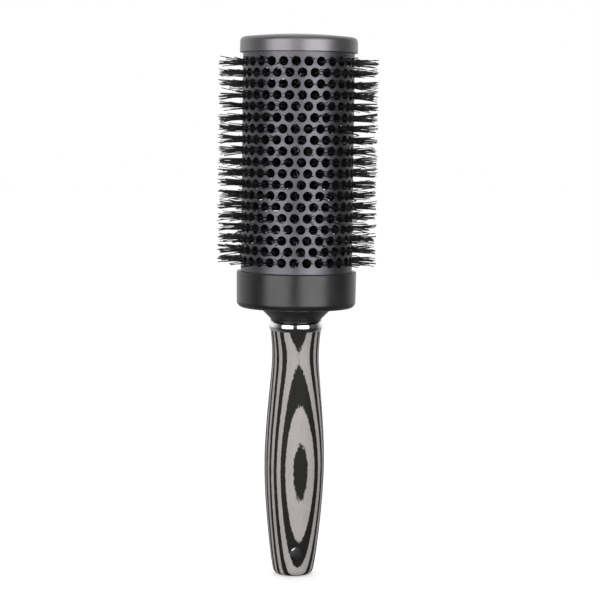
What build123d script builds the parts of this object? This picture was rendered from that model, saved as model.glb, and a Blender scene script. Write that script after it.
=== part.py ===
"""Round barrel hair brush: a perforated metal barrel over a twisted wire core with nylon bristles.

The barrel is held between a moulded end cap and a moulded collar. The collar and a plated ferrule
ring sit on the tenon of a turned handle, which is laminated from flat dyed veneers.

Frame: millimetres, +Z from the handle's butt to the end cap, with the origin at the centre of the
butt. The veneers lie parallel to the XZ plane, and the hanging hole runs along Y to within 3 degrees.
"""

import os

from build123d import *

# ---- driving dimensions -------------------------------------------------------------------------
BARREL_R = 26.5            # outside radius of the perforated barrel
BARREL_WALL = 0.8
HOLE_R = 2.25
HOLES_PER_RING = 28
RINGS = 19
RING_PITCH = 5.2
FIRST_RING_Z = 151.95
BARREL_TURN = -2.6         # degrees, the barrel's turn about Z against the handle's face

BRISTLE_TIP_R = 38.5       # radius of the trimmed bristle tips
BRISTLE_ROOT_R = 2.6       # where a tuft starts, just outside the wire core
TUFT_SPREAD = 0.0575       # a tuft's radius for each millimetre from the axis

WIRE_R = 1.0
WIRE_HELIX_R = 1.05
WIRE_LAY = 16.4            # height of one full turn of the twist
WIRE_TURN = 0.0            # degrees, where the first wire starts about Z
STEM_BOTTOM_Z = 64.5
STEM_TOP_Z = 254.5
STEM_BORE_R = 2.25

HANDLE_TOP_Z = 118.1       # shoulder that carries the ferrule ring
TENON_R = 8.5
TENON_TOP_Z = 127.3
FERRULE_TOP_Z = 122.8
COLLAR_BOTTOM_Z = 122.85
COLLAR_RIM_Z = 146.7
BARREL_BOTTOM_Z = 137.55
BARREL_TOP_Z = 253.45
CAP_SKIRT_Z = 250.1
CAP_TOP_Z = 259.0
CAP_R = 27.8
CAP_DOME_R = 224.0
CAP_ROUNDING = 2.2

HANG_HOLE_R = 3.35
HANG_HOLE_Z = 11.6
HANG_HOLE_TURN = -3.0      # degrees about Z from the Y axis

VENEER = 1.45              # thickness of one sheet
VENEERS = 21
VENEER_MID_Y = -0.225      # the middle sheet's place where VENEER_COURSE has no shift
VENEER_COURSE = (          # the sheets' bow and twist: height, shift towards -Y, degrees about Z
    (-4.0, -1.09, 0.0),
    (4.5, -0.95, 0.0),
    (17.5, -0.62, 0.0),
    (33.5, -0.28, 0.0),
    (54.5, -0.04, 0.0),
    (64.5, 0.13, -0.5),
    (80.5, 0.33, -2.0),
    (106.5, -0.06, -4.8),
    (130.0, 0.04, -8.6),
)

FIT = 0.1                  # play between a socket and what it holds
SEAT = 0.05                # play between two faces that meet


def turned(*corners):
    """A solid turned about Z. A corner of its outline is (radius, height) or (radius, height, rounding)."""
    return revolve(section(*corners), Axis.Z)


def section(*corners):
    """A closed outline in the XZ plane, as a face."""
    points = [(corner[0], 0, corner[1]) for corner in corners]
    roundings = [corner[2] if len(corner) == 3 else 0 for corner in corners]
    return make_face(FilletPolyline(*points, radius=roundings, close=True))


# ---- handle -------------------------------------------------------------------------------------
def handle_blank():
    """The turned handle in one piece, with its tenon, stem bore and hanging hole."""
    flat_r = 6.4
    corner = Bezier((flat_r, 0, 0), (8.6, 0, 0.1), (9.4, 0, 1.0), (9.85, 0, 3.1))
    side = Spline(
        (9.85, 0, 3.1),
        (12.27, 0, 20.9),
        (13.84, 0, 38.9),
        (14.38, 0, 55.0),
        (13.53, 0, 74.9),
        (12.0, 0, 92.9),
        (11.2, 0, 105.8),
        (12.0, 0, HANDLE_TOP_Z),
        tangents=((0.19, 0, 1), (0.11, 0, 1)),
    )
    shoulder = Polyline(
        (12.0, 0, HANDLE_TOP_Z),
        (TENON_R, 0, HANDLE_TOP_Z),
        (TENON_R, 0, TENON_TOP_Z),
        (0, 0, TENON_TOP_Z),
        (0, 0, 0),
        (flat_r, 0, 0),
    )
    blank = revolve(make_face([*corner.edges(), *side.edges(), *shoulder.edges()]), Axis.Z)
    bore_bottom_z = STEM_BOTTOM_Z - 1.0
    bore = Pos(0, 0, bore_bottom_z) * Cylinder(
        STEM_BORE_R, TENON_TOP_Z - bore_bottom_z + 1, align=(Align.CENTER, Align.CENTER, Align.MIN)
    )
    hanging_hole = Pos(0, 0, HANG_HOLE_Z) * Rot(Z=HANG_HOLE_TURN) * Rot(X=90) * Cylinder(HANG_HOLE_R, 40)
    return blank - hanging_hole - bore


def veneer_sheet(index):
    """The sheet with this index, counted from the face at -Y, before turning."""
    middle = (VENEERS - 1) // 2
    offset = VENEER_MID_Y + (index - middle) * VENEER
    sections = [
        Pos(0, 0, height) * Rot(Z=turn) * Pos(0, offset - shift, 0) * Rectangle(60, VENEER)
        for height, shift, turn in VENEER_COURSE
    ]
    return loft(sections, ruled=True)


def veneers():
    """Every sheet of the laminated handle, by node name. Dark and light sheets alternate."""
    blank = handle_blank()
    sheets = {}
    for index in range(VENEERS):
        shade = "dark" if index % 2 == 0 else "light"
        sheets[f"veneer_{index + 1:02d}_{shade}"] = blank & veneer_sheet(index)
    return sheets


# ---- ferrule, collar and cap --------------------------------------------------------------------
def ferrule_ring():
    """The plated ring between the handle's shoulder and the collar, with a bulging face."""
    bottom_z = HANDLE_TOP_Z + SEAT
    inner_r = TENON_R + FIT
    bulge = ThreePointArc((12.15, 0, bottom_z), (12.92, 0, 120.55), (12.2, 0, FERRULE_TOP_Z))
    rest = Polyline(
        (12.2, 0, FERRULE_TOP_Z), (inner_r, 0, FERRULE_TOP_Z), (inner_r, 0, bottom_z), (12.15, 0, bottom_z)
    )
    return revolve(make_face([*bulge.edges(), *rest.edges()]), Axis.Z)


def base_collar():
    """The moulded cup that seats the barrel, with its neck, tenon socket and stem boss."""
    seat_r = BARREL_R + FIT
    ledge_z = BARREL_BOTTOM_Z - SEAT
    ledge_r = 24.0
    floor_z = 133.0
    boss_r = 5.0
    boss_top_z = 141.5
    socket_r = TENON_R + FIT
    socket_top_z = TENON_TOP_Z + 0.2
    return turned(
        (STEM_BORE_R, boss_top_z),
        (boss_r, boss_top_z, 0.5),
        (boss_r, floor_z, 1.0),
        (ledge_r, floor_z, 1.0),
        (ledge_r, ledge_z),
        (seat_r, ledge_z),
        (seat_r, COLLAR_RIM_Z),
        (28.6, COLLAR_RIM_Z, 0.6),
        (28.45, 129.4, 3.0),
        (17.4, 129.1, 2.2),
        (12.15, 123.8, 1.5),
        (12.0, COLLAR_BOTTOM_Z),
        (socket_r, COLLAR_BOTTOM_Z),
        (socket_r, socket_top_z),
        (STEM_BORE_R, socket_top_z),
    )


def end_cap():
    """The domed cap over the barrel's top, with a plug ring inside it and a boss for the stem."""
    skirt_inner_r = BARREL_R + FIT
    ledge_z = BARREL_TOP_Z + SEAT
    plug_outer_r = BARREL_R - BARREL_WALL - FIT
    plug_bottom_z = 249.4
    plate_z = 255.9
    boss_r = 4.3
    boss_bottom_z = 249.0
    socket_end_z = STEM_TOP_Z + 0.4
    blank = section(
        (0, CAP_TOP_Z + 1),
        (0, socket_end_z),
        (STEM_BORE_R, socket_end_z),
        (STEM_BORE_R, boss_bottom_z),
        (boss_r, boss_bottom_z),
        (boss_r, plate_z, 0.6),
        (23.9, plate_z, 0.6),
        (24.2, plug_bottom_z),
        (plug_outer_r, plug_bottom_z, 0.4),
        (plug_outer_r, ledge_z),
        (skirt_inner_r, ledge_z),
        (skirt_inner_r, CAP_SKIRT_Z),
        (CAP_R + 0.2, CAP_SKIRT_Z, 0.3),
        (CAP_R, CAP_TOP_Z + 1),
    )
    dome = Plane((0, 0, CAP_TOP_Z - CAP_DOME_R), x_dir=(1, 0, 0), z_dir=(0, -1, 0)) * Circle(CAP_DOME_R)
    domed = blank & dome
    shoulder = domed.vertices().filter_by(lambda v: v.Z > CAP_TOP_Z - 3).sort_by(Axis.X)[-1]
    return revolve(fillet(shoulder, CAP_ROUNDING), Axis.Z)


# ---- barrel, wire core and bristles -------------------------------------------------------------
def hole_angle(ring, column):
    """Degrees about Z from -Y of a hole. Every other ring is shifted by half a hole's spacing."""
    step = 360 / HOLES_PER_RING
    return BARREL_TURN + step * (column + 0.5 * (ring % 2))


def ring_z(ring):
    return FIRST_RING_Z + RING_PITCH * ring


def outward(ring, column):
    """A place at a hole's height on the axis, whose own +Z points out through the hole."""
    return Pos(0, 0, ring_z(ring)) * Rot(Z=hole_angle(ring, column)) * Rot(X=90)


def barrel():
    """The perforated tube. Each hole is drilled from outside through the one wall."""
    length = BARREL_TOP_Z - BARREL_BOTTOM_Z
    upright = (Align.CENTER, Align.CENTER, Align.MIN)
    tube = Cylinder(BARREL_R, length, align=upright) - Cylinder(BARREL_R - BARREL_WALL, length, align=upright)
    drill = Pos(0, 0, BARREL_R - 2) * Cylinder(HOLE_R, 4, align=upright)
    drills = [outward(ring, column) * drill for ring in range(RINGS) for column in range(HOLES_PER_RING)]
    return Pos(0, 0, BARREL_BOTTOM_Z) * tube - drills


def stem_wire(turn):
    """One of the two wires of the core, twisted left-handed, starting at this angle about Z."""
    helix = Helix(
        pitch=WIRE_LAY, height=STEM_TOP_Z - STEM_BOTTOM_Z, radius=WIRE_HELIX_R, lefthand=True
    )
    wire = sweep(Plane(helix @ 0, z_dir=helix % 0) * Circle(WIRE_R), path=helix, is_frenet=True)
    length = STEM_TOP_Z - STEM_BOTTOM_Z - WIRE_R
    trim = Pos(0, 0, 0.5 * WIRE_R) * Box(9, 9, length, align=(Align.CENTER, Align.CENTER, Align.MIN))
    return Pos(0, 0, STEM_BOTTOM_Z) * Rot(Z=turn) * (wire & trim)


def bristle_ring(ring):
    """The tufts of one ring of holes, each a cone that widens from the core to the trimmed tips."""
    tuft = Pos(0, 0, BRISTLE_ROOT_R) * Cone(
        TUFT_SPREAD * BRISTLE_ROOT_R,
        TUFT_SPREAD * BRISTLE_TIP_R,
        BRISTLE_TIP_R - BRISTLE_ROOT_R,
        align=(Align.CENTER, Align.CENTER, Align.MIN),
    )
    return Compound(children=[outward(ring, column) * tuft for column in range(HOLES_PER_RING)])


def main():
    nodes = {
        "end_cap": end_cap(),
        "barrel": barrel(),
        "base_collar": base_collar(),
        "ferrule_ring": ferrule_ring(),
        "stem_wire_a": stem_wire(WIRE_TURN),
        "stem_wire_b": stem_wire(WIRE_TURN + 180),
        **veneers(),
    }
    for ring in range(RINGS):
        nodes[f"bristle_ring_{ring + 1:02d}"] = bristle_ring(ring)

    os.makedirs("parts", exist_ok=True)
    for name, shape in nodes.items():
        export_step(shape, f"parts/{name}.step")
        print(f"{name}: {len(shape.solids())} solids, {shape.volume:.1f} mm3")


main()
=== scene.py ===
"""Looks of the round barrel brush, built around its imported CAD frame.

Metres, with +Z from the butt to the end cap.
"""

import math

import bpy
import numpy as np
from mathutils import Matrix, Vector


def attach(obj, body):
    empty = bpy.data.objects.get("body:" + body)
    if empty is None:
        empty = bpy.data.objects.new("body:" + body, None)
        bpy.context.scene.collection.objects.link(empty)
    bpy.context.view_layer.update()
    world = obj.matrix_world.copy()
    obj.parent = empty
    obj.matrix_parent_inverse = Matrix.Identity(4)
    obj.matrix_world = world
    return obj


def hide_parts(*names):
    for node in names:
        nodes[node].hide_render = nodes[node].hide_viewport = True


MM = 0.001

# ---- dimensions shared with the CAD, in millimetres ----------------------------------------------
BARREL_R = 26.5
HOLES_PER_RING = 28
RINGS = 19
RING_PITCH = 5.2
FIRST_RING_Z = 151.95
BARREL_TURN = -2.6
BRISTLE_TIP_R = 38.5

VENEER = 1.45
VENEERS = 21
VENEER_MID_Y = -0.225

HANG_HOLE_R = 3.35
HANG_HOLE_Z = 11.6
HANG_HOLE_TURN = -3.0         # degrees about Z from the Y axis

# ---- the laminate's drawn pattern: height, shift towards -Y, degrees about Z ---------------------
# At the neck the drawn boundaries are up to about 0.25 mm off those of the CAD sheets.
VENEER_COURSE = (
    (-4.0, -1.09, 0.0),
    (4.5, -0.95, 0.0),
    (17.5, -0.62, 0.0),
    (33.5, -0.28, 0.0),
    (54.5, -0.04, 0.0),
    (64.5, 0.13, -0.5),
    (80.5, 0.33, -2.0),
    (98.5, 0.17, -3.6),
    (106.5, 0.16, -4.8),
    (130.0, 0.14, -8.6),
)

# ---- bristles ------------------------------------------------------------------------------------
FILAMENTS_PER_HOLE = (4, 6)
CAUGHT_PER_HOLE = 5           # filaments that miss the hole and end inside the barrel
CAUGHT_TIP_R = 25.2
FILAMENT_R = 0.21
FILAMENT_ROOT_R = 2.4
FILAMENT_SIDES = 6
ROOT_RISE = 0.55              # how far up or down the core a filament starts, in ring pitches
HOLE_REACH = 1.5              # how far from a hole's centre its filaments pass
SLANT_KEPT = 0.55             # share of a filament's slant that it keeps past the barrel
TUFT_LEAN = 0.4               # spread of a whole tuft's bend
FILAMENT_LEAN = 0.5           # spread of each filament's own bend
BEND_POWER = 1.6
TRIM_MARGIN = 0.3             # the longest tips stop this far inside the tip radius
TRIM_SPREAD = 0.8
SHORT_SHARE = 0.14            # share of filaments that are clearly short, and by how much
SHORT_BY = (1.0, 5.0)
END_LENGTH = 0.12             # the rounded end of a filament, and its width against the rest
END_WIDTH = 0.55
SEED = 11

# ---- light ---------------------------------------------------------------------------------------
WORLD_FRONT = 0.10
WORLD_BACK = 1.0
WORLD_TOP = 0.5
KEY_LEFT = 11.0
KEY_RIGHT = 13.0

# ---- camera --------------------------------------------------------------------------------------
CAMERA_AZIMUTH = -13.0        # degrees from -Y towards +X
CAMERA_ELEVATION = 5.0
CAMERA_ROLL = 0.68
CAMERA_DISTANCE = 0.955
CAMERA_LENS = 119.7
CAMERA_TARGET_Z = 0.1309
CAMERA_ASIDE = 0.00188
CAMERA_RAISE = 0.0018


# ---- node helpers --------------------------------------------------------------------------------
class Nodes:
    """A material's node tree, with short calls that make a node and wire it up."""

    def __init__(self, name):
        self.material = bpy.data.materials.new(name)
        self.material.use_nodes = True
        self.tree = self.material.node_tree
        self.tree.nodes.clear()
        self.output = self.tree.nodes.new("ShaderNodeOutputMaterial")
        self.shader = self.tree.nodes.new("ShaderNodeBsdfPrincipled")
        self.tree.links.new(self.shader.outputs[0], self.output.inputs["Surface"])
        self.place = self.tree.nodes.new("ShaderNodeTexCoord").outputs["Object"]

    def put(self, value, socket):
        if isinstance(value, bpy.types.NodeSocket):
            self.tree.links.new(value, socket)
        else:
            socket.default_value = value

    def math(self, operation, a, b=0.0):
        node = self.tree.nodes.new("ShaderNodeMath")
        node.operation = operation
        self.put(a, node.inputs[0])
        self.put(b, node.inputs[1])
        return node.outputs[0]

    def stretch(self, factors):
        node = self.tree.nodes.new("ShaderNodeVectorMath")
        node.operation = "MULTIPLY"
        self.put(self.place, node.inputs[0])
        node.inputs[1].default_value = factors
        return node.outputs[0]

    def part(self, axis):
        """One of the place's coordinates, in metres."""
        node = self.tree.nodes.new("ShaderNodeSeparateXYZ")
        self.put(self.place, node.inputs[0])
        return node.outputs[axis]

    def course(self, height, points):
        """A value that follows straight runs between (height in mm, value) points."""
        heights = [p[0] for p in points]
        values = [p[1] for p in points]
        low, high = min(values), max(values)
        node = self.tree.nodes.new("ShaderNodeFloatCurve")
        curve = node.mapping.curves[0]
        for index, (z, value) in enumerate(points):
            place = ((z - heights[0]) / (heights[-1] - heights[0]), (value - low) / (high - low))
            if index in (0, len(points) - 1):
                curve.points[0 if index == 0 else -1].location = place
            else:
                curve.points.new(*place)
        for point in curve.points:
            point.handle_type = "VECTOR"
        node.mapping.update()
        self.put(self.ramp(height, heights[0] * MM, heights[-1] * MM), node.inputs["Value"])
        return self.ramp(node.outputs["Value"], 0, 1, low, high)

    def noise(self, scale, detail=2.0, roughness=0.5, stretch=(1, 1, 1), distortion=0.0):
        node = self.tree.nodes.new("ShaderNodeTexNoise")
        self.put(self.stretch(stretch), node.inputs["Vector"])
        node.inputs["Scale"].default_value = scale
        node.inputs["Detail"].default_value = detail
        node.inputs["Roughness"].default_value = roughness
        node.inputs["Distortion"].default_value = distortion
        return node.outputs["Fac"]

    def ramp(self, value, low, high, to_low=0.0, to_high=1.0, smooth=False):
        node = self.tree.nodes.new("ShaderNodeMapRange")
        node.interpolation_type = "SMOOTHSTEP" if smooth else "LINEAR"
        self.put(value, node.inputs["Value"])
        node.inputs["From Min"].default_value = low
        node.inputs["From Max"].default_value = high
        node.inputs["To Min"].default_value = to_low
        node.inputs["To Max"].default_value = to_high
        return node.outputs["Result"]

    def mix(self, factor, a, b, blend="MIX"):
        node = self.tree.nodes.new("ShaderNodeMix")
        node.data_type = "RGBA"
        node.blend_type = blend
        self.put(factor, node.inputs[0])
        self.put(rgba(a), node.inputs[6])
        self.put(rgba(b), node.inputs[7])
        return node.outputs[2]

    def bump(self, height, distance, strength=1.0, normal=None):
        node = self.tree.nodes.new("ShaderNodeBump")
        self.put(height, node.inputs["Height"])
        node.inputs["Distance"].default_value = distance
        node.inputs["Strength"].default_value = strength
        if normal is not None:
            self.put(normal, node.inputs["Normal"])
        return node.outputs["Normal"]

    def finish(self, **sockets):
        for name, value in sockets.items():
            self.put(rgba(value), self.shader.inputs[name.replace("_", " ")])
        return self.material


def rgba(value):
    if isinstance(value, (tuple, list)) and len(value) == 3:
        return (*value, 1.0)
    return value


# ---- materials -----------------------------------------------------------------------------------
def satin_plastic(name, low, high, gloss, metallic=0.0):
    """Moulded plastic: a fine spark-eroded grain, with handling marks in its gloss."""
    n = Nodes(name)
    cloud = n.noise(55, detail=4, roughness=0.55)
    grain = n.noise(5200, detail=2, roughness=0.6)
    rub = n.noise(240, detail=6, roughness=0.7, stretch=(1, 1, 0.35), distortion=0.6)
    colour = n.mix(n.ramp(cloud, 0.35, 0.68), low, high)
    rough = n.ramp(cloud, 0.35, 0.7, gloss - 0.04, gloss + 0.06)
    rough = n.math("ADD", rough, n.ramp(rub, 0.5, 0.75, 0.0, 0.06))
    normal = n.bump(rub, 0.000006, normal=n.bump(grain, 0.000012))
    return n.finish(Base_Color=colour, Metallic=metallic, Roughness=rough, Normal=normal)


def barrel_metal():
    """Dark anodised tube with a faint grain along its length and some rubbed places."""
    n = Nodes("barrel_metal")
    cloud = n.noise(70, detail=3)
    draw = n.noise(2600, detail=3, roughness=0.65, stretch=(1, 1, 0.06))
    speck = n.noise(4200, detail=2, roughness=0.6)
    colour = n.mix(n.ramp(cloud, 0.3, 0.7), (0.105, 0.101, 0.113), (0.148, 0.142, 0.158))
    colour = n.mix(n.ramp(draw, 0.4, 0.75, 0.0, 0.35), colour, (0.20, 0.192, 0.212))
    # Painted shade: inside the outer skin the tube is painted near-black, standing in for the shade inside
    # the barrel and its holes.
    x, y = n.part("X"), n.part("Y")
    radius = n.math("SQRT", n.math("ADD", n.math("MULTIPLY", x, x), n.math("MULTIPLY", y, y)))
    outside_not_painted_shade = n.ramp(radius, (BARREL_R - 0.6) * MM, (BARREL_R - 0.4) * MM)
    colour = n.mix(outside_not_painted_shade, (0.018, 0.018, 0.019), colour)
    rough = n.ramp(n.math("ADD", cloud, n.math("MULTIPLY", draw, 0.4)), 0.5, 0.9, 0.38, 0.50)
    normal = n.bump(speck, 0.000008, normal=n.bump(draw, 0.000005))
    return n.finish(Base_Color=colour, Metallic=0.92, Roughness=rough, Normal=normal)


def chrome():
    n = Nodes("ring_chrome")
    haze = n.noise(900, detail=4)
    colour = n.mix(n.ramp(haze, 0.4, 0.7), (0.86, 0.86, 0.87), (0.78, 0.78, 0.79))
    rough = n.ramp(haze, 0.35, 0.75, 0.04, 0.12)
    normal = n.bump(n.noise(420, detail=2), 0.00001)
    return n.finish(Base_Color=colour, Metallic=1.0, Roughness=rough, Normal=normal)


def core_wire():
    """Bright galvanised wire with faint drawing lines."""
    n = Nodes("core_wire")
    spangle = n.noise(800, detail=3)
    colour = n.mix(n.ramp(spangle, 0.35, 0.7), (0.80, 0.80, 0.80), (0.58, 0.58, 0.60))
    rough = n.ramp(spangle, 0.35, 0.75, 0.18, 0.34)
    normal = n.bump(n.noise(3500, detail=3), 0.00001)
    return n.finish(Base_Color=colour, Metallic=1.0, Roughness=rough, Normal=normal)


def nylon():
    n = Nodes("bristle_nylon")
    tone = n.noise(400, detail=3)
    colour = n.mix(n.ramp(tone, 0.35, 0.7), (0.006, 0.006, 0.0065), (0.016, 0.016, 0.017))
    rough = n.ramp(tone, 0.3, 0.7, 0.28, 0.45)
    normal = n.bump(n.noise(6000, detail=2), 0.00001)
    return n.finish(Base_Color=colour, Roughness=rough, Normal=normal)


def laminate():
    """Dyed veneers glued face to face, then turned: a boundary wanders where the cut is shallow."""
    n = Nodes("veneer_laminate")
    height = n.part("Z")
    shift = n.course(height, [(z, shift) for z, shift, _ in VENEER_COURSE])
    turn = n.math("MULTIPLY", n.course(height, [(z, turn) for z, _, turn in VENEER_COURSE]), math.pi / 180)
    front = n.math("MULTIPLY", n.part("X"), n.math("SINE", turn))
    front = n.math("SUBTRACT", front, n.math("MULTIPLY", n.part("Y"), n.math("COSINE", turn)))
    depth = n.math("SUBTRACT", n.math("SUBTRACT", shift, VENEER_MID_Y), n.math("MULTIPLY", front, 1 / MM))
    sheet = n.math("ADD", n.math("DIVIDE", depth, VENEER), (VENEERS - 1) / 2 + 0.5)
    wander = n.noise(900, detail=3, roughness=0.6, stretch=(1, 1, 0.55))
    fibre = n.noise(3600, detail=3, roughness=0.7, stretch=(1, 1, 0.12))
    stray = n.math("ADD", n.ramp(wander, 0.0, 1.0, -0.12, 0.12), n.ramp(fibre, 0.0, 1.0, -0.13, 0.13))
    wave = n.math("SINE", n.math("MULTIPLY", n.math("ADD", sheet, stray), math.pi))
    is_dark = n.ramp(wave, -0.10, 0.10, smooth=True)

    pores = n.ramp(n.noise(5200, detail=2, roughness=0.8, stretch=(1, 1, 0.07)), 0.56, 0.74)
    flame = n.noise(1500, detail=4, roughness=0.65, stretch=(1, 1, 0.05))
    cloud = n.noise(110, detail=3)
    light = n.mix(n.ramp(flame, 0.3, 0.7), (0.440, 0.410, 0.406), (0.525, 0.494, 0.490))
    light = n.mix(n.ramp(cloud, 0.35, 0.7, 0.0, 0.35), light, (0.405, 0.376, 0.372))
    light = n.mix(n.math("MULTIPLY", pores, 0.45), light, (0.20, 0.182, 0.178))
    dark = n.mix(n.ramp(flame, 0.3, 0.7), (0.009, 0.0086, 0.0078), (0.017, 0.016, 0.0148))
    dark = n.mix(n.math("MULTIPLY", pores, 0.5), dark, (0.030, 0.028, 0.026))
    colour = n.mix(is_dark, light, dark)

    # Painted shade: the hanging hole's wall is painted near-black all the way through, standing in for the
    # shade inside the hole.
    turned = math.radians(HANG_HOLE_TURN)
    aside = n.math("MULTIPLY", n.part("X"), math.cos(turned))
    aside = n.math("ADD", aside, n.math("MULTIPLY", n.part("Y"), math.sin(turned)))
    rise = n.math("SUBTRACT", height, HANG_HOLE_Z * MM)
    squares = n.math("ADD", n.math("MULTIPLY", aside, aside), n.math("MULTIPLY", rise, rise))
    from_axis = n.math("SQRT", squares)
    bore_painted_shade = n.ramp(from_axis, (HANG_HOLE_R + 0.03) * MM, (HANG_HOLE_R + 0.1) * MM, 1.0, 0.0)
    colour = n.mix(bore_painted_shade, colour, (0.004, 0.004, 0.004))
    rough = n.ramp(flame, 0.3, 0.75, 0.52, 0.68)
    normal = n.bump(pores, -0.000018, normal=n.bump(flame, 0.00001))
    return n.finish(Base_Color=colour, Roughness=rough, Normal=normal, Specular_IOR_Level=0.22)


def floor_paint():
    n = Nodes("floor_paint")
    colour = n.mix(n.ramp(n.noise(14, detail=3), 0.3, 0.7), (0.90, 0.90, 0.90), (0.93, 0.93, 0.93))
    return n.finish(Base_Color=colour, Roughness=0.9, Emission_Color=(1, 1, 1), Emission_Strength=0.4)


# ---- bristles ------------------------------------------------------------------------------------
def hole_angle(ring, column):
    step = 360 / HOLES_PER_RING
    return math.radians(BARREL_TURN + step * (column + 0.5 * (ring % 2)))


def tuft_paths(rng, ring, column):
    """The centre lines of one hole's filaments.

    They leave the core all along its length, slant to the hole, and carry on past the barrel near that
    slant. Others miss the hole and end inside the barrel.
    """
    step = math.pi / HOLES_PER_RING
    angle = hole_angle(ring, column)
    outward = np.array([math.sin(angle), -math.cos(angle), 0.0])
    across = np.array([math.cos(angle), math.sin(angle), 0.0])
    up = np.array([0.0, 0.0, 1.0])
    centre = np.array([0.0, 0.0, FIRST_RING_Z + RING_PITCH * ring])

    def at(r, offset):
        """The point at this radius, moved aside and up by the offset."""
        reach_out = math.sqrt(max(r * r - offset[0] ** 2, 0.0))
        return centre + outward * reach_out + across * offset[0] + up * offset[1]

    lean = rng.normal(0, TUFT_LEAN, 2)
    paths = []
    for _ in range(rng.integers(FILAMENTS_PER_HOLE[0], FILAMENTS_PER_HOLE[1] + 1)):
        start = rng.uniform(-step, step)
        rise = rng.uniform(-ROOT_RISE, ROOT_RISE) * RING_PITCH
        swing, reach = rng.uniform(0, 2 * math.pi), HOLE_REACH * math.sqrt(rng.uniform(0, 1))
        at_wall = np.array([math.cos(swing), math.sin(swing)]) * reach
        root = np.array([math.sin(start) * FILAMENT_ROOT_R, rise])
        slant = (at_wall - root) / (BARREL_R - FILAMENT_ROOT_R)
        bend = lean + rng.normal(0, FILAMENT_LEAN, 2)
        tip_r = BRISTLE_TIP_R - TRIM_MARGIN - abs(rng.normal(0, TRIM_SPREAD))
        if rng.uniform() < SHORT_SHARE:
            tip_r -= rng.uniform(*SHORT_BY)
        points = []
        for r in (FILAMENT_ROOT_R, 10.0, 18.0, BARREL_R, *np.linspace(BARREL_R, tip_r, 4)[1:]):
            past = max(0.0, (r - BARREL_R) / (BRISTLE_TIP_R - BARREL_R))
            keep = SLANT_KEPT if past > 0 else 1.0
            points.append(at(r, at_wall + slant * keep * (r - BARREL_R) + bend * past**BEND_POWER))
        paths.append((np.array(points), across, up))
    for _ in range(CAUGHT_PER_HOLE):
        root = np.array([rng.uniform(-step, step) * FILAMENT_ROOT_R, rng.uniform(-0.5, 0.5) * RING_PITCH])
        tip = np.array([rng.uniform(-step, step) * CAUGHT_TIP_R, rng.uniform(-0.5, 0.5) * RING_PITCH])
        points = []
        for r in (FILAMENT_ROOT_R, 13.0, CAUGHT_TIP_R):
            along = (r - FILAMENT_ROOT_R) / (CAUGHT_TIP_R - FILAMENT_ROOT_R)
            points.append(at(r, root + (tip - root) * along))
        paths.append((np.array(points), across, up))
    return paths


def bristle_ring(rng, ring, material):
    """All the filaments of one ring of holes, as one mesh of thin closed tubes with rounded ends."""
    turn = np.arange(FILAMENT_SIDES) * 2 * math.pi / FILAMENT_SIDES
    circle = np.stack([np.cos(turn), np.sin(turn)], axis=1)
    points, faces = [], []
    for column in range(HOLES_PER_RING):
        for path, across, up in tuft_paths(rng, ring, column):
            base = len(points)
            along = path[-1] - path[-2]
            along /= np.linalg.norm(along)
            rows = [(p, 1.0) for p in path[:-1]]
            rows.append((path[-1] - along * END_LENGTH, 1.0))
            rows.append((path[-1], END_WIDTH))
            for p, width in rows:
                for c, s in circle:
                    points.append(p + (across * c + up * s) * FILAMENT_R * width)
            count = FILAMENT_SIDES
            for k in range(len(rows) - 1):
                for j in range(count):
                    a, b = base + k * count + j, base + k * count + (j + 1) % count
                    faces.append((a, b, b + count, a + count))
            faces.append(tuple(base + j for j in range(count))[::-1])
            last = base + (len(rows) - 1) * count
            faces.append(tuple(last + j for j in range(count)))
    name = f"bristles_{ring + 1:02d}"
    mesh = bpy.data.meshes.new(name)
    mesh.from_pydata([tuple(p * MM) for p in points], [], faces)
    mesh.polygons.foreach_set("use_smooth", [len(f) == 4 for f in faces])
    mesh.materials.append(material)
    mesh.update()
    piece = bpy.data.objects.new(name, mesh)
    bpy.context.scene.collection.objects.link(piece)
    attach(piece, "root")
    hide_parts(f"bristle_ring_{ring + 1:02d}")


# ---- stage, lights and camera --------------------------------------------------------------------
def aimed(position, target, roll=0.0):
    """The matrix of something at this position that looks at the target along its own -Z."""
    position, target = Vector(position), Vector(target)
    turn = (target - position).to_track_quat("-Z", "Y").to_matrix().to_4x4()
    return Matrix.Translation(position) @ turn @ Matrix.Rotation(roll, 4, "Z")


def softbox(name, position, target, width, height, power):
    light = bpy.data.lights.new(name, "AREA")
    light.shape = "RECTANGLE"
    light.size = width
    light.size_y = height
    light.energy = power
    lamp = bpy.data.objects.new(name, light)
    lamp.matrix_world = aimed(position, target)
    bpy.context.scene.collection.objects.link(lamp)


def make_floor():
    size = 6.0
    mesh = bpy.data.meshes.new("floor")
    corners = [(-size, -size, 0), (size, -size, 0), (size, size, 0), (-size, size, 0)]
    mesh.from_pydata(corners, [], [(0, 1, 2, 3)])
    mesh.materials.append(floor_paint())
    floor = bpy.data.objects.new("floor", mesh)
    floor.location.z = -0.0002
    floor.visible_diffuse = False
    floor.visible_glossy = False
    bpy.context.scene.collection.objects.link(floor)


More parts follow.
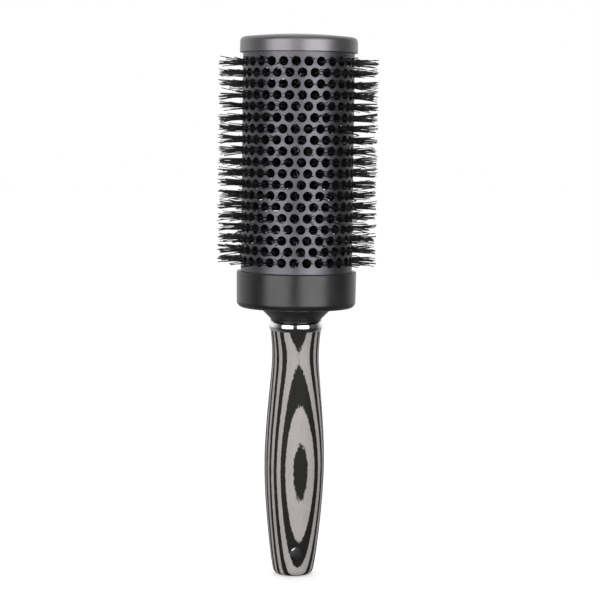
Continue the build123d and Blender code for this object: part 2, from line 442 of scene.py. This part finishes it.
def make_world():
    """A white backdrop behind the brush, and a dim room on the camera's side."""
    world = bpy.data.worlds.new("studio")
    world.use_nodes = True
    tree = world.node_tree
    background = tree.nodes["Background"]
    place = tree.nodes.new("ShaderNodeTexCoord").outputs["Generated"]
    parts = tree.nodes.new("ShaderNodeSeparateXYZ")
    tree.links.new(place, parts.inputs[0])

    def ramp(value, low, high, to_low, to_high):
        node = tree.nodes.new("ShaderNodeMapRange")
        node.interpolation_type = "SMOOTHSTEP"
        tree.links.new(value, node.inputs["Value"])
        for name, number in (("From Min", low), ("From Max", high), ("To Min", to_low), ("To Max", to_high)):
            node.inputs[name].default_value = number
        return node.outputs["Result"]

    def combine(operation, a, b):
        node = tree.nodes.new("ShaderNodeMath")
        node.operation = operation
        tree.links.new(a, node.inputs[0])
        tree.links.new(b, node.inputs[1])
        return node.outputs[0]

    back = ramp(parts.outputs["Y"], -0.1, 0.75, WORLD_FRONT, WORLD_BACK)
    above = ramp(parts.outputs["Z"], -0.35, 0.0, 0.3, 1.0)
    around = combine("MULTIPLY", back, above)
    around = combine("ADD", around, ramp(parts.outputs["Z"], 0.45, 0.9, 0.0, WORLD_TOP))
    seen = tree.nodes.new("ShaderNodeLightPath").outputs["Is Camera Ray"]
    tree.links.new(combine("MAXIMUM", around, seen), background.inputs["Strength"])
    background.inputs["Color"].default_value = (1, 1, 1, 1)
    bpy.context.scene.world = world


def make_lights():
    softbox("key_left", (-0.906, -0.787, 0.14), (0, 0, 0.13), 1.10, 0.9, KEY_LEFT)
    softbox("key_right", (0.41, -1.13, 0.18), (0, 0, 0.15), 1.15, 0.9, KEY_RIGHT)


def make_camera():
    """A long lens, a little above the middle, with the brush leaning slightly right in the picture."""
    azimuth, elevation = math.radians(CAMERA_AZIMUTH), math.radians(CAMERA_ELEVATION)
    level = math.cos(elevation)
    back = Vector((math.sin(azimuth) * level, -math.cos(azimuth) * level, math.sin(elevation)))
    right = Vector((math.cos(azimuth), math.sin(azimuth), 0))
    target = Vector((0, 0, CAMERA_TARGET_Z)) + right * CAMERA_ASIDE + Vector((0, 0, CAMERA_RAISE))
    data = bpy.data.cameras.new("camera")
    data.lens = CAMERA_LENS
    data.sensor_width = 36
    data.clip_start = 0.05
    camera = bpy.data.objects.new("camera", data)
    camera.matrix_world = aimed(target + back * CAMERA_DISTANCE, target, math.radians(CAMERA_ROLL))
    bpy.context.scene.collection.objects.link(camera)
    bpy.context.scene.camera = camera


# ---- the brush -----------------------------------------------------------------------------------
def dress(node, material):
    mesh = node.data
    mesh.materials.clear()
    mesh.materials.append(material)


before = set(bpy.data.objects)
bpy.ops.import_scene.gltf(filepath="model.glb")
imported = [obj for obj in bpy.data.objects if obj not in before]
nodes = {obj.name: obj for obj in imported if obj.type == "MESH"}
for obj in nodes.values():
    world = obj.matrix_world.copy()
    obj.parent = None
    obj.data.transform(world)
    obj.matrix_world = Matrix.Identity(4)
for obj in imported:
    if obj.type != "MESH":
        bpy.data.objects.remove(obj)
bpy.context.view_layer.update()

cap_plastic = satin_plastic("cap_plastic", (0.175, 0.169, 0.176), (0.225, 0.218, 0.226), 0.38, 0.88)
collar_plastic = satin_plastic("collar_plastic", (0.016, 0.016, 0.0165), (0.026, 0.026, 0.0265), 0.30)
dress(nodes["end_cap"], cap_plastic)
dress(nodes["base_collar"], collar_plastic)
dress(nodes["barrel"], barrel_metal())
dress(nodes["ferrule_ring"], chrome())
wire = core_wire()
dress(nodes["stem_wire_a"], wire)
dress(nodes["stem_wire_b"], wire)
blank = laminate()
for name, node in nodes.items():
    if name.startswith("veneer_"):
        dress(node, blank)

random = np.random.default_rng(SEED)
nylon_material = nylon()
for ring in range(RINGS):
    bristle_ring(random, ring, nylon_material)

make_floor()
make_world()
make_lights()
make_camera()
bpy.context.scene.view_settings.view_transform = "Standard"
